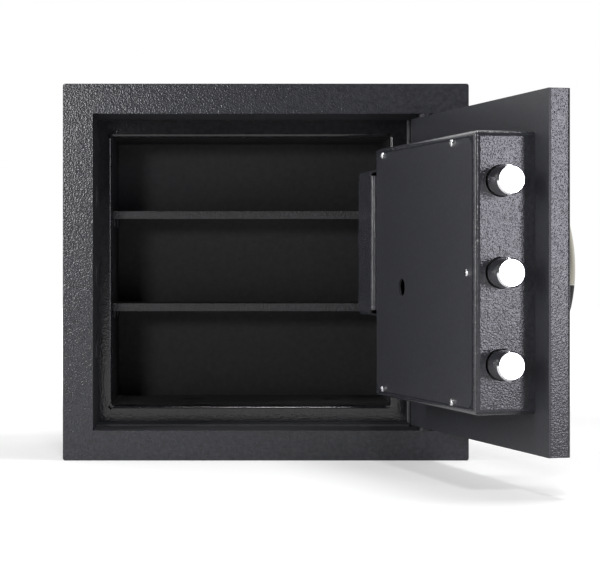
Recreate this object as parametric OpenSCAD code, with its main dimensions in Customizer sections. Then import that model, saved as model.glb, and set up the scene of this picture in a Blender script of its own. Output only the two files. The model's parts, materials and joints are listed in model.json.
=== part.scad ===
// Wall safe: a double-walled box with two shelves, and a hinged door with
// three sliding bolts, a lever, a keypad lock and a battery box.
// X runs right, Y into the safe and Z up. The origin is the middle of the base.
// The modules measure Y from the face, and the assembly moves them back to the
// origin. The door stands open.

/* [Body] */
// Width of the body
body_w = 406; // [390:1:440]
// Height of the body
body_h = 377; // [360:1:410]
// Depth of the body
body_d = 230; // [215:1:300]
// Width of the frame round the door opening
rim = 30; // [28:1:36]
// Thickness of the outer steel
skin = 3; // [2:0.5:4]
// Rounding of the body's outer corners
body_r = 2.5; // [2:0.5:8]
// Depth from the face to the compartment's front frame
recess_d = 80; // [79:0.5:90]
// Depth of the flange on the sill
sill_w = 30; // [10:1:50]
// Thickness of the flange on the sill
sill_t = 2; // [1:0.25:3]

/* [Compartment] */
// Thickness of the liner
liner_t = 2; // [1:0.5:3]
// Frame strip on the bolt side
strip_l = 14; // [10:0.5:20]
// Frame strip on the hinge side
strip_r = 42; // [36:0.5:60]
// Frame strip above the compartment
strip_t = 18; // [14:0.5:30]
// Frame strip below the compartment
strip_b = 19; // [14:0.5:30]
// Rounding of the frame's bends
bend_r = 3; // [1.5:0.5:3.5]
// Room between the liner and the back plate
back_room = 33; // [20:1:40]
// Room between the front frame and the filling
fill_back = 10; // [0.5:0.5:15]
// Thickness of the carpet on the compartment floor
mat_t = 3; // [2:0.5:5]
// Height of the upper shelf's front lip above the base
shelf_up_z = 244; // [230:1:260]
// Height of the lower shelf's front lip above the base
shelf_low_z = 147; // [130:1:160]
// Height of a shelf's folded front lip
lip_h = 8.5; // [6:0.5:12]
// Thickness of a shelf
shelf_t = 1.5; // [1:0.5:3]
// Set-back of the shelves from the frame
shelf_back = 16; // [10:1:30]

/* [Door] */
// Thickness of the door
door_t = 20; // [18:0.5:22]
// Gap at the door's free edge
gap_free = 2; // [2:0.25:4]
// Gap at the hinge edge
gap_hinge = 3.5; // [3:0.25:5]
// Gap above and below the door
gap_z = 4.5; // [3:0.25:6]
// Thickness of the door's front plate
plate_t = 4; // [3:0.5:6]
// Thickness of the door's folded edges and back plate
fold_t = 2; // [1.5:0.25:2.5]
// Rounding of the door's outer corners
door_r = 3; // [2:0.5:4]
// How far the door stands open
door_open = 104; // [90:1:107]

/* [Hinge] */
// Distance of the pivot from the hinge edge
pivot_in = 9.5; // [9:0.5:12]
// Distance of the pivot from the door's face
pivot_y = 8.5; // [8:0.5:9.5]
// Diameter of the hinge pins
pin_d = 8; // [6:0.5:8]
// Radial play of a pin in its bush
pin_play = 0.05; // [0.02:0.01:0.1]
// How far a pin reaches into the door
pin_reach = 14; // [10:1:20]
// Wall of a bush
bush_wall = 1.5; // [1:0.25:1.5]

/* [Bolts] */
// Diameter of a bolt
bolt_d = 25.4; // [20:0.2:26]
// Spacing of the bolts
bolt_pitch = 77.4; // [60:0.2:80]
// Height of the bolts' axis above the door's inner face
bolt_n = 31; // [29:0.5:32]
// Travel of the bolts
throw = 22; // [16:0.5:22]
// Set-back of a drawn bolt's tip from the door's free edge
tip_in = 4.5; // [3:0.5:8]
// Length of a bolt
bolt_len = 70; // [66:1:80]
// Chamfer of a bolt's tip
bolt_edge = 1.5; // [0.5:0.1:2]
// Radial play of a bolt in its guide
bolt_play = 0.1; // [0.05:0.01:0.2]
// Thickness of the bar behind the bolts
bar_t = 6; // [4:0.5:8]

/* [Boltwork cover] */
// Set-back of the cover from the door's free edge
cover_in = 28.5; // [27:0.5:32]
// Length of the cover along the door
cover_w = 264; // [255:0.5:264.5]
// Set-back of the cover from the door's top and bottom
cover_z = 34; // [30:0.5:38]
// Height of the cover above the door
cover_h = 54; // [52:0.5:56]
// Steel of the covers
cover_t = 2; // [1.5:0.25:2.5]
// Rounding of the covers' bends
cover_r = 5; // [3:0.5:6]
// Rounding of the cover's corners
cover_corner = 5.5; // [3:0.5:8]
// Border round the panel on the bolt side
border_near = 8; // [7:0.5:12]
// Border round the panel on its other sides
border = 5.5; // [5:0.5:8]
// Diameter of the panel's access hole
access_d = 16.5; // [10:0.5:20]

/* [Battery box] */
// Length of the battery box along the door
batt_w = 45.5; // [36:0.5:45.5]
// Height of the battery box's body
batt_h = 142; // [130:1:150]
// Depth of the battery box above the door
batt_n = 57.5; // [55:0.5:58]
// Offset of its middle above the door's middle
batt_up = 28.5; // [10:0.5:40]

/* [Lever] */
// Distance of the lever's shaft from the door's free edge
shaft_a = 150; // [146:1:160]
// Diameter of the shaft
shaft_d = 12; // [10:0.5:12]
// Turn of the lever
turn = 70; // [50:1:70]
// Length of the lever
lever_len = 84; // [60:1:90]

/* [Keypad] */
// Distance of the keypad's middle from the door's free edge
pad_a = 80; // [76:1:84]
// Height of the keypad's middle above the base
pad_z = 192; // [190:1:200]
// Width of the keypad
pad_w = 76; // [74:1:80]
// Height of the keypad
pad_h = 122; // [116:1:130]
// Depth of the keypad at its crown
pad_q = 28.5; // [27.5:0.25:31]
// Rounding of the keypad's sides
pad_r = 16; // [12:0.5:16]
// Pitch of the keys
key_pitch = 14; // [12.5:0.25:14]
// Side of a key
key_w = 11; // [9:0.25:11.5]
// Travel of a key
key_travel = 1.5; // [1:0.1:2]

/* [Fixings] */
// Diameter of the anchor holes in the floor
anchor_d = 12; // [8:0.5:14]
// Spacing of the two anchor holes
anchor_x = 150; // [100:5:200]
// Set-back of the anchor holes from the compartment's front
anchor_y = 58; // [40:1:70]
// Diameter of a panel screw's head
head_d = 6.4; // [5:0.2:8]

/* [Hidden] */
$fn = 48;

steel = [0.24, 0.24, 0.26];
dark = [0.12, 0.12, 0.13];
bright = [0.8, 0.8, 0.82];
nickel = [0.66, 0.63, 0.57];
black = [0.06, 0.06, 0.06];

fit = 0.3;             // clearance between neighbours that move or slip in
seat = 0.02;           // radial clearance of a fixed pin or screw
eps = 0.01;            // overrun of a cut
bolt_room = 1;         // round a bolt in the cover

open_w = body_w - 2 * rim;
open_h = body_h - 2 * rim;
top_z = body_h - rim;
door_w = open_w - gap_free - gap_hinge;
door_z0 = rim + gap_z;
door_z1 = top_z - gap_z;
door_h = door_z1 - door_z0;
mid_z = (door_z0 + door_z1) / 2;
free_x = -open_w / 2 + gap_free;
pivot_a = door_w - pivot_in;
pivot_x = free_x + pivot_a;
inner = plate_t - door_t;          // back of the door's front plate
cavity = -fold_t;                  // front of the door's back plate

room_x0 = -open_w / 2 + strip_l;   // compartment, inside the liner
room_x1 = open_w / 2 - strip_r;
room_z0 = rim + strip_b;
room_z1 = top_z - strip_t;
room_w = room_x1 - room_x0;
room_h = room_z1 - room_z0;
room_y1 = body_d - back_room - liner_t;
shelf_y0 = recess_d + shelf_back;
shelf_y1 = room_y1 - fit;

cover_a1 = cover_in + cover_w;
cover_z0 = door_z0 + cover_z;
cover_z1 = door_z1 - cover_z;
panel_t = cover_t;
panel_a0 = cover_in + border_near;
panel_a1 = cover_a1 - border;
panel_z0 = cover_z0 + border;
panel_z1 = cover_z1 - border;
panel_r = 10;
panel_gap = 0.8;                   // seam on the panel's bolt side
ledge = 12;                        // lip that carries the panel
ledge_near = 28;
screw_in = 18.5;                     // panel screws, in from its far edge
screw_down = 2.5;
screw_near = 45.5;                   // and from its near edge
screw_mid = 9.5;
shank_d = 3.5;
shank_len = 6;
head_h = 2.2;

batt_a0 = cover_a1 + seat;
batt_a1 = batt_a0 + batt_w;
batt_z0 = mid_z + batt_up - batt_h / 2;
batt_z1 = batt_z0 + batt_h;
notch = 5.5;                       // corner relief of a fold
cell_d = 14.5;
cell_len = 50.5;
holder_t = 2;

bar_a0 = tip_in + bolt_len;        // bar behind the bolts, drawn
bar_a1 = bar_a0 + bar_t;
bar_w = 32;
bar_h = 2 * bolt_pitch + 34;
bar_n0 = bolt_n - bar_w / 2;
bar_screw_d = 6;
bar_screw_len = 13;                // into a bolt
guide_t = 3;
guide_a0 = bar_a0 - throw - guide_t - 3.5;
guide_n = bolt_n + bolt_d / 2 + 1.5;
guide_h = 2 * bolt_pitch + 44;
foot = 15;
bolt_zs = [for (i = [-1 : 1]) mid_z + i * bolt_pitch];

hard_w = 80;
hard_h = 120;
hard_t = 4;
hard_a0 = shaft_a - hard_w + 20;
hard_z0 = mid_z + 30 - hard_h;

crank_r = throw / 2 / sin(turn / 2);
crank_pin_d = 8;
slot_play = 0.5;
crank_n0 = 3;
crank_t = 7;
link_n0 = crank_n0 + crank_t + 2;
link_t = 5;
link_z0 = mid_z + crank_r * cos(turn / 2) - crank_pin_d / 2 - 5;
link_z1 = mid_z + crank_r + crank_pin_d / 2 + 5;
slot_a = shaft_a + throw / 2;
link_a1 = slot_a + 12;

rose_d = 50;
rose_t = 5;
shaft_out = 20;                     // reach of the shaft into the lever

plunger_d = 8;
plunger_n = bolt_n - 2;
plunger_a = bar_a1 + 17.5;
plunger_throw = 9;
tab_t = 4;
tab_z0 = mid_z - bolt_pitch / 2;
tab_len = plunger_a - bar_a1 + throw + 9;
lock_a0 = bar_a1 + 7.5;
lock_w = 60;
lock_h = 52;
lock_n = 34;
lock_z1 = tab_z0 - 2;
lock_z0 = lock_z1 - lock_h;
lock_screw_as = [plunger_a + plunger_d / 2 + 8, lock_a0 + lock_w - 6];
lock_screw_zs = [lock_z0 + 6, lock_z1 - 6];

pad_a0 = pad_a - pad_w / 2;
pad_a1 = pad_a + pad_w / 2;
pad_z0 = pad_z - pad_h / 2;
base_q = 6;
split_z = pad_z - 14;              // the battery cover lies below
arch_r = 150;                      // arch of the keypad's front, from top to bottom
pad_corner = 18;
wall = 3;
pocket_q = pad_q - 10.5;           // floor of the key pocket
pocket_w = 3 * key_pitch + 3;
pocket_z0 = split_z + 4;
pocket_h = 4 * key_pitch + 3;
key_q0 = pocket_q + fit + key_travel;
key_proud = key_travel;            // a key stands this far out of the front
stem_d = 5;
function key_a(k) = pad_a + ((k - 1) % 3 - 1) * key_pitch;
function key_z(k) = pocket_z0 + pocket_h - 1.5 - key_pitch * (floor((k - 1) / 3) + 0.5);
lead_d = 4;
lead_a = (lock_a0 + pad_a1) / 2;
lead_z = lock_z1 - 8;

// ---- helpers -------------------------------------------------------------

// Children drawn flat in X and Z, standing from depth y0 to y1
module deep(y0, y1) {
  translate([0, y1, 0]) rotate([90, 0, 0]) linear_extrude(y1 - y0) children();
}

// Flat rectangle with round corners
module rounded(x0, x1, z0, z1, r) {
  translate([x0 + r, z0]) square([x1 - x0 - 2 * r, z1 - z0]);
  translate([x0, z0 + r]) square([x1 - x0, z1 - z0 - 2 * r]);
  for (x = [x0 + r, x1 - r], z = [z0 + r, z1 - r]) translate([x, z]) circle(r);
}

// Box between two corners
module block(a0, a1, n0, n1, z0, z1) {
  translate([a0, n0, z0]) cube([a1 - a0, n1 - n0, z1 - z0]);
}

// Rod along Y
module rod_n(a, z, n0, n1, d) {
  translate([a, n0, z]) rotate([-90, 0, 0]) cylinder(h = n1 - n0, d = d);
}

// Rod along X
module rod_a(n, z, a0, a1, d) {
  translate([a0, n, z]) rotate([0, 90, 0]) cylinder(h = a1 - a0, d = d);
}

// Rod along Z
module rod_z(a, n, z0, z1, d) {
  translate([a, n, z0]) cylinder(h = z1 - z0, d = d);
}

// Flat section of a folded box: two round corners away from the door
module fold(w, h, r) {
  square([w, h - r]);
  translate([r, 0]) square([w - 2 * r, h]);
  for (x = [r, w - r]) translate([x, h - r]) circle(r);
}

// Solid with four rounded front edges
module folded(a0, a1, z0, z1, h, r) {
  intersection() {
    translate([a0, 0, z0]) linear_extrude(z1 - z0) fold(a1 - a0, h, r);
    translate([a1, 0, z0]) rotate([0, -90, 0]) linear_extrude(a1 - a0) fold(z1 - z0, h, r);
  }
}

// The door's own frame: x from its free edge, y from its inner face
module on_door() {
  translate([pivot_x, pivot_y, 0]) rotate([0, 0, door_open])
    translate([-pivot_a, door_t - pivot_y, 0]) children();
}

module anchor_holes(z0, z1, d) {
  for (x = [-anchor_x / 2, anchor_x / 2]) rod_z(x, recess_d + anchor_y, z0, z1, d);
}

// ---- body ----------------------------------------------------------------

module outer_wrap() {
  color(steel) difference() {
    deep(skin, body_d) difference() {
      rounded(-body_w / 2, body_w / 2, 0, body_h, body_r);
      rounded(-body_w / 2 + skin, body_w / 2 - skin, skin, body_h - skin, 1);
    }
    anchor_holes(-eps, skin + eps, anchor_d);
  }
}

module face_frame() {
  color(steel) union() {
    difference() {
      union() {
        deep(0, skin) rounded(-body_w / 2, body_w / 2, 0, body_h, body_r);
        deep(0, recess_d)
          rounded(-open_w / 2 - skin, open_w / 2 + skin, rim - skin, top_z + skin, 1);
      }
      deep(-eps, recess_d + eps) translate([-open_w / 2, rim]) square([open_w, open_h]);
      for (z = bolt_zs)
        rod_a(door_t + bolt_n, z, -open_w / 2 - skin - eps, -open_w / 2 + eps, bolt_d + 2.6);
      for (z = [rim - skin - eps, top_z - eps])
        rod_z(pivot_x, pivot_y, z, z + skin + 2 * eps, pin_d + 2 * seat);
    }
    // flange on the sill, up to the beaded strip
    block(-open_w / 2 - 1, open_w / 2 - strip_in - fit, recess_d - sill_w, recess_d,
      rim - 1, rim + sill_t);
  }
}

module back_plate() {
  color(steel) deep(body_d - skin, body_d)
    rounded(-body_w / 2 + skin + fit, body_w / 2 - skin - fit, skin, body_h - skin - fit, 1);
}

// Rounded front edge of the compartment, along X or Z
module bend_cut(len) {
  difference() {
    translate([-eps, -eps, 0]) cube([bend_r + eps, bend_r + eps, len]);
    translate([bend_r, bend_r, -eps]) cylinder(r = bend_r, h = len + 2 * eps);
  }
}

module inner_liner() {
  slot_w = 4;
  slot_out = 4;
  slot_in = 10;
  slot_y = recess_d + liner_t + eps;
  color(dark) difference() {
    union() {
      deep(recess_d, recess_d + liner_t)
        translate([-open_w / 2 - skin, rim - skin]) square([open_w + 2 * skin, open_h + 2 * skin]);
      deep(recess_d, room_y1 + liner_t)
        translate([room_x0 - liner_t, room_z0 - liner_t])
          square([room_w + 2 * liner_t, room_h + 2 * liner_t]);
    }
    deep(recess_d - eps, room_y1) translate([room_x0, room_z0]) square([room_w, room_h]);
    anchor_holes(room_z0 - liner_t - eps, room_z0 + eps, anchor_d);
    translate([room_x0, recess_d, room_z0]) rotate([0, 0, 90]) bend_cut(room_h);
    translate([room_x1, recess_d, room_z0]) bend_cut(room_h);
    translate([room_x0, recess_d, room_z1]) rotate([0, 90, 0]) rotate([0, 0, 90]) bend_cut(room_w);
    translate([room_x0, recess_d, room_z0]) rotate([0, 90, 0]) bend_cut(room_w);
    // relief slots where the folds meet
    for (z = [room_z0, room_z1]) translate([room_x0, 0, z])
      rotate([0, z > mid_z ? 45 : -45, 0])
        block(-slot_out, slot_in, recess_d - eps, slot_y, -slot_w / 2, slot_w / 2);
    block(room_x1 - slot_w + 1, room_x1 + 1, recess_d - eps, slot_y, room_z1 - slot_in, room_z1 + slot_out);
    block(room_x1 - slot_out, room_x1 + eps, recess_d - eps, slot_y, room_z0 - slot_w / 2, room_z0 + eps);
  }
}

// Fire-resistant filling between the liner and the outer steel
module wall_filling() {
  color("darkgray") difference() {
    deep(recess_d + liner_t + fill_back, body_d - skin - fit)
      rounded(-body_w / 2 + skin + fit, body_w / 2 - skin - fit,
        skin + fit, body_h - skin - fit, 1);
    block(room_x0 - liner_t - fit, room_x1 + liner_t + fit,
      recess_d, room_y1 + liner_t + fit,
      room_z0 - liner_t - fit, room_z1 + liner_t + fit);
    anchor_holes(0, room_z0, anchor_d);
  }
}

strip_in = 24.5;                     // beaded strip, from the opening's edge

// Beaded strip on the frame, beside the hinge
module hinge_stile() {
  strip_w = 6;
  proud = 1.5;
  bead_r = (strip_w * strip_w / 4 + proud * proud) / (2 * proud);
  color(steel) translate([open_w / 2 - strip_in + strip_w / 2, recess_d, rim + fit])
    intersection() {
      translate([0, bead_r - proud, 0]) cylinder(r = bead_r, h = open_h - 2 * fit);
      translate([-strip_w / 2, -proud - 1, -1]) cube([strip_w, proud + 1, open_h]);
    }
}

module shelf(z) {
  color(dark) {
    block(room_x0 + fit, room_x1 - fit, shelf_y0, shelf_y1, z + lip_h - shelf_t, z + lip_h);
    block(room_x0 + fit, room_x1 - fit, shelf_y0, shelf_y0 + shelf_t, z, z + lip_h - shelf_t);
  }
}

module shelf_upper() { shelf(shelf_up_z); }

module shelf_lower() { shelf(shelf_low_z); }

// Eight small angles that carry the shelves
module shelf_brackets() {
  bracket_t = 2;
  reach = 12;
  tall = 14;
  color(dark) for (z = [shelf_up_z, shelf_low_z], y = [shelf_y0 + 12, shelf_y1 - 32]) {
    top = z + lip_h - shelf_t;
    block(room_x0, room_x0 + bracket_t, y, y + 20, top - tall, top);
    block(room_x0 + bracket_t, room_x0 + reach, y, y + 20, top - bracket_t, top);
    block(room_x1 - bracket_t, room_x1, y, y + 20, top - tall, top);
    block(room_x1 - reach, room_x1 - bracket_t, y, y + 20, top - bracket_t, top);
  }
}

module floor_carpet() {
  access = anchor_d + 14;
  color(black) difference() {
    block(room_x0 + fit, room_x1 - fit, recess_d + bend_r, room_y1 - fit,
      room_z0, room_z0 + mat_t);
    anchor_holes(room_z0 - 1, room_z0 + mat_t + 1, access);
  }
}

// ---- hinge ---------------------------------------------------------------

// Blocks welded above and below the opening, drilled for the pins
module hinge_blocks() {
  block_w = 26;
  block_h = 12;
  block_d = 14;
  color(steel) for (z = [rim - skin - block_h, top_z + skin]) difference() {
    block(pivot_x - block_w / 2, pivot_x + block_w / 2, skin, skin + block_d, z, z + block_h);
    rod_z(pivot_x, pivot_y, z - eps, z + block_h + eps, pin_d + 2 * seat);
  }
}

module hinge_pins() {
  held = skin + 12;
  len = held + gap_z + pin_reach;
  color(bright) for (z = [rim - held, top_z + held - len]) rod_z(pivot_x, pivot_y, z, z + len, pin_d);
}

// The lower washer carries the door
module hinge_washers() {
  washer_d = pin_d + 7;
  color(bright) for (z = [rim, top_z - gap_z + fit]) difference() {
    rod_z(pivot_x, pivot_y, z, z + gap_z - fit, washer_d);
    rod_z(pivot_x, pivot_y, z - eps, z + gap_z, pin_d + 2 * seat);
  }
}

// ---- door ----------------------------------------------------------------

module door_holes(n0, n1) {
  rod_n(shaft_a, mid_z, n0, n1, shaft_d + 1);
  rod_n(lead_a, lead_z, n0, n1, lead_d + 4);
}

bush_d = pin_d + 2 * pin_play + 2 * bush_wall;

module bush_holes() {
  for (z = [door_z0 - eps, door_z1 - pin_reach - 1])
    rod_z(pivot_a, pivot_y - door_t, z, z + pin_reach + 1 + eps, bush_d + 2 * seat);
}

module door_outline() {
  translate([door_r, -door_t]) square([door_w - 2 * door_r, door_t - fold_t]);
  translate([0, door_r - door_t]) square([door_w, door_t - door_r - fold_t]);
  for (x = [door_r, door_w - door_r]) translate([x, door_r - door_t]) circle(door_r);
}

module door_pan() {
  color(steel) difference() {
    translate([0, 0, door_z0]) linear_extrude(door_h) door_outline();
    block(fold_t, door_w - fold_t, inner, 1, door_z0 + fold_t, door_z1 - fold_t);
    door_holes(-door_t - 1, inner + 1);
    bush_holes();
  }
}

module door_back_plate() {
  color(steel) difference() {
    block(0, door_w, cavity, 0, door_z0, door_z1);
    door_holes(cavity - 1, 1);
  }
}

// Hardened plate behind the lever and the lock
module hard_plate() {
  color("gray") difference() {
    block(hard_a0, hard_a0 + hard_w, inner, inner + hard_t, hard_z0, hard_z0 + hard_h);
    door_holes(inner - 1, inner + hard_t + 1);
  }
}

module door_filling() {
  pocket = 40;
  color("darkgray") difference() {
    block(fold_t + fit, door_w - fold_t - fit, inner, cavity, door_z0 + fold_t + fit,
      door_z1 - fold_t - fit);
    block(hard_a0 - fit, hard_a0 + hard_w + fit, inner - 1, inner + hard_t + fit,
      hard_z0 - fit, hard_z0 + hard_h + fit);
    door_holes(inner - 1, cavity + 1);
    for (z = [door_z0, door_z1 - pocket])
      block(door_w - pocket, door_w, inner - 1, cavity + 1, z, z + pocket);
  }
}

// Blocks in the door's corners that hold the bushes
module pivot_blocks() {
  block_w = 30;
  block_h = 24;
  color("gray") difference() {
    for (z = [door_z0 + fold_t, door_z1 - fold_t - block_h])
      block(door_w - fold_t - block_w, door_w - fold_t, inner, cavity, z, z + block_h);
    bush_holes();
  }
}

module pivot_bushes() {
  color("goldenrod") difference() {
    for (z = [door_z0, door_z1 - pin_reach - 1])
      rod_z(pivot_a, pivot_y - door_t, z, z + pin_reach + 1, bush_d);
    rod_z(pivot_a, pivot_y - door_t, door_z0 - 1, door_z0 + pin_reach + fit, pin_d + 2 * pin_play);
    rod_z(pivot_a, pivot_y - door_t, door_z1 - pin_reach - fit, door_z1 + 1, pin_d + 2 * pin_play);
  }
}

// ---- boltwork cover ------------------------------------------------------

// Places of the five panel screws, each [from the free edge, height]
SCREWS = [
  [panel_a1 - screw_in, panel_z1 - screw_down], [panel_a0 + screw_near, panel_z1 - screw_down],
  [panel_a0 + screw_mid, mid_z],
  [panel_a0 + screw_near, panel_z0 + screw_down], [panel_a1 - screw_in, panel_z0 + screw_down]];

// The panel's outline, with a gap on its bolt side and another on the others
module panel_shape(gap_near, gap) {
  rounded(panel_a0 - gap_near, panel_a1 + gap, panel_z0 - gap, panel_z1 + gap, panel_r + gap);
}

// The cover's solid, inset by a wall
module cover_solid(inset) {
  intersection() {
    folded(cover_in + inset, cover_a1 - inset, cover_z0 + inset, cover_z1 - inset,
      cover_h - inset, cover_r - inset);
    deep(-1, cover_h) rounded(cover_in + inset, cover_a1 - inset, cover_z0 + inset,
      cover_z1 - inset, cover_corner - inset);
  }
}

module boltwork_cover() {
  under = cover_h - panel_t;
  color(steel) difference() {
    cover_solid(0);
    difference() {
      translate([0, -eps, 0]) cover_solid(cover_t);
      block(cover_in, cover_a1, under - cover_t, cover_h, cover_z0, cover_z1);
    }
    deep(under - cover_t - 1, cover_h + 1)
      rounded(cover_in + ledge_near, panel_a1 - ledge, panel_z0 + ledge, panel_z1 - ledge, panel_r);
    deep(under, cover_h + 1) panel_shape(panel_gap, fit);
    for (z = bolt_zs) rod_a(bolt_n, z, cover_in - 1, cover_in + cover_t + 1,
      bolt_d + 2 * bolt_room);
    rod_a(lead_n, batt_lead_z, cover_a1 - cover_t - 1, cover_a1 + 1, lead_d + 2);
    for (s = SCREWS) rod_n(s[0], s[1], under - cover_t - 1, under + 1, shank_d + 2 * seat);
  }
}

module cover_panel() {
  access = [cover_in + 185.5, mid_z - 14];
  color(steel) difference() {
    deep(cover_h - panel_t, cover_h) panel_shape(0, 0);
    rod_n(access[0], access[1], cover_h - panel_t - 1, cover_h + 1, access_d);
    for (s = SCREWS) rod_n(s[0], s[1], cover_h - panel_t - 1, cover_h + 1, shank_d + 2 * seat);
  }
}

module pan_head(d, h) {
  cylinder(h = h / 2, d = d);
  translate([0, 0, h / 2]) cylinder(h = h / 2, d1 = d, d2 = d * 0.7);
}

module screw_n(a, z, n, len, d, head, head_h) {
  translate([a, n, z]) rotate([-90, 0, 0]) pan_head(head, head_h);
  rod_n(a, z, n - len, n, d);
}

module panel_screws() {
  color(bright) for (s = SCREWS) screw_n(s[0], s[1], cover_h, shank_len, shank_d, head_d, head_h);
}

// ---- battery box ---------------------------------------------------------

module battery_box() {
  color(steel) difference() {
    folded(batt_a0, batt_a1, batt_z0, batt_z1, batt_n, cover_r);
    translate([0, -eps, 0]) folded(batt_a0 + cover_t, batt_a1 - cover_t, batt_z0 + cover_t,
      batt_z1 - cover_t, batt_n - cover_t + eps, cover_r - cover_t);
    for (a = [batt_a0, batt_a1 - notch], z = [batt_z0, batt_z1 - notch])
      block(a - eps, a + notch + eps, batt_n - notch, batt_n + 1, z - eps, z + notch + eps);
    rod_a(lead_n, batt_lead_z, batt_a0 - 1, batt_a0 + cover_t + 1, lead_d + 2);
    for (z = [batt_z0, batt_z1 - cover_t])
      rod_z((batt_a0 + batt_a1) / 2, 6, z - 1, z + cover_t + 1, shank_d + 2 * seat);
  }
}

lead_n = 14;
batt_lead_z = batt_z0 + 12;

// Two inner angles hold the box, screwed from above and below
module battery_box_screws() {
  color(bright) for (side = [-1, 1]) {
    z = side > 0 ? batt_z1 : batt_z0;
    translate([(batt_a0 + batt_a1) / 2, 6, z]) mirror([0, 0, side > 0 ? 0 : 1]) {
      pan_head(head_d, head_h);
      translate([0, 0, -shank_len]) cylinder(h = shank_len, d = shank_d);
    }
  }
}

module battery_holder() {
  mid_a = (batt_a0 + batt_a1) / 2;
  low = batt_z0 + 25;
  half = cell_d + holder_t + 0.5;
  color(black) difference() {
    block(mid_a - half, mid_a + half, 0, cell_d / 2 + holder_t + 4,
      low - holder_t, low + 2 * cell_len - 3 + holder_t);
    for (x = [-1, 1])
      rod_z(mid_a + x * (cell_d / 2 + 0.25), cell_d / 2 + holder_t, low - fit,
        low + 2 * cell_len - 3 + fit, cell_d + 2 * seat);
    block(mid_a - half + holder_t, mid_a + half - holder_t, cell_d / 2 + holder_t,
      cell_d + 20, low - fit, low + 2 * cell_len - 3 + fit);
  }
}

module batteries() {
  mid_a = (batt_a0 + batt_a1) / 2;
  low = batt_z0 + 25;
  len = cell_len - 1.5;
  color("steelblue") for (x = [-1, 1], k = [0, 1])
    rod_z(mid_a + x * (cell_d / 2 + 0.25), cell_d / 2 + holder_t,
      low + k * len, low + (k + 1) * len - 1.5, cell_d);
}

// Lead from the battery box to the lock
module battery_lead() {
  turn_a = lock_a0 + lock_w + 20;
  z = lock_z0 + 12;
  color(black) {
    rod_a(lead_n, z, lock_a0 + lock_w, turn_a, lead_d);
    translate([turn_a, lead_n, z]) sphere(d = lead_d);
    rod_z(turn_a, lead_n, z, batt_lead_z, lead_d);
    translate([turn_a, lead_n, batt_lead_z]) sphere(d = lead_d);
    rod_a(lead_n, batt_lead_z, turn_a, batt_a0 + 8, lead_d);
  }
}

// ---- boltwork ------------------------------------------------------------

module bolt(z) {
  color(bright) difference() {
    union() {
      rod_a(bolt_n, z, tip_in + bolt_edge, tip_in + bolt_len, bolt_d);
      translate([tip_in, bolt_n, z]) rotate([0, 90, 0])
        cylinder(h = bolt_edge, d1 = bolt_d - 2 * bolt_edge, d2 = bolt_d);
    }
    rod_a(bolt_n, z, bar_a0 - bar_screw_len - 1, bar_a0 + 1, bar_screw_d + 2 * seat);
  }
}

module bolt_upper() { bolt(bolt_zs[2]); }

module bolt_middle() { bolt(bolt_zs[1]); }

module bolt_lower() { bolt(bolt_zs[0]); }

module bolt_bar() {
  color("silver") difference() {
    block(bar_a0, bar_a1, bar_n0, bar_n0 + bar_w, mid_z - bar_h / 2, mid_z + bar_h / 2);
    for (z = bolt_zs) rod_a(bolt_n, z, bar_a0 - 1, bar_a1 + 1, bar_screw_d + 2 * seat);
  }
}

module bar_screws() {
  color(bright) for (z = bolt_zs) {
    rod_a(bolt_n, z, bar_a0 - bar_screw_len, bar_a1, bar_screw_d);
    rod_a(bolt_n, z, bar_a1, bar_a1 + 4, bar_screw_d + 4);
  }
}

module bolt_guide() {
  color("silver") difference() {
    union() {
      block(guide_a0, guide_a0 + guide_t, 0, guide_n, mid_z - guide_h / 2, mid_z + guide_h / 2);
      block(guide_a0 + guide_t, guide_a0 + foot, 0, guide_t,
        mid_z - guide_h / 2, mid_z + guide_h / 2);
    }
    for (z = bolt_zs)
      rod_a(bolt_n, z, guide_a0 - 1, guide_a0 + guide_t + 1, bolt_d + 2 * bolt_play);
    for (z = guide_screw_zs)
      rod_n(guide_a0 + guide_t + 6, z, -1, guide_t + 1, shank_d + 2 * seat);
  }
}

guide_screw_zs = [mid_z - bolt_pitch / 2, mid_z + bolt_pitch / 2];

module guide_screws() {
  color(bright) for (z = guide_screw_zs)
    screw_n(guide_a0 + guide_t + 6, z, guide_t, guide_t, shank_d, head_d, head_h);
}

// Plate that the crank's pin drives
module bolt_link() {
  color("silver") difference() {
    union() {
      block(bar_a1, link_a1, link_n0, link_n0 + link_t, link_z0, link_z1);
      block(bar_a1, bar_a1 + 4, link_n0 + link_t, bar_n0 + bar_w, link_z0, link_z1);
    }
    block(slot_a - crank_pin_d / 2 - slot_play, slot_a + crank_pin_d / 2 + slot_play,
      link_n0 - 1, link_n0 + link_t + 1, link_z0 + 4, link_z1 - 4);
  }
}

// Tab on the bar with a notch for the lock's plunger at either end of the travel
module lock_tab() {
  notch_w = plunger_d + 1.2;
  color("silver") difference() {
    block(bar_a1, bar_a1 + tab_len, bar_n0, bar_n0 + bar_w - 6, tab_z0, tab_z0 + tab_t);
    for (a = [plunger_a, plunger_a + throw])
      block(a - notch_w / 2, a + notch_w / 2, plunger_n - notch_w / 2, bar_n0 + bar_w,
        tab_z0 - 1, tab_z0 + tab_t + 1);
  }
}

module lock_body() {
  color("dimgray") difference() {
    block(lock_a0, lock_a0 + lock_w, 0, lock_n, lock_z0, lock_z1);
    rod_z(plunger_a, plunger_n, lock_z1 - 20 - fit, lock_z1 + 1, plunger_d + 0.1);
    for (a = lock_screw_as, z = lock_screw_zs)
      rod_n(a, z, lock_n - shank_len - 1, lock_n + 1, shank_d + 2 * seat);
    rod_n(lead_a, lead_z, -1, 4, lead_d + 2 * seat);
  }
}

module lock_screws() {
  color(bright) for (a = lock_screw_as, z = lock_screw_zs)
    screw_n(a, z, lock_n, shank_len, shank_d, head_d, head_h);
}

module lock_plunger() {
  color(bright) rod_z(plunger_a, plunger_n, lock_z1 - 20, lock_z1 + 1, plunger_d);
}

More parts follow.
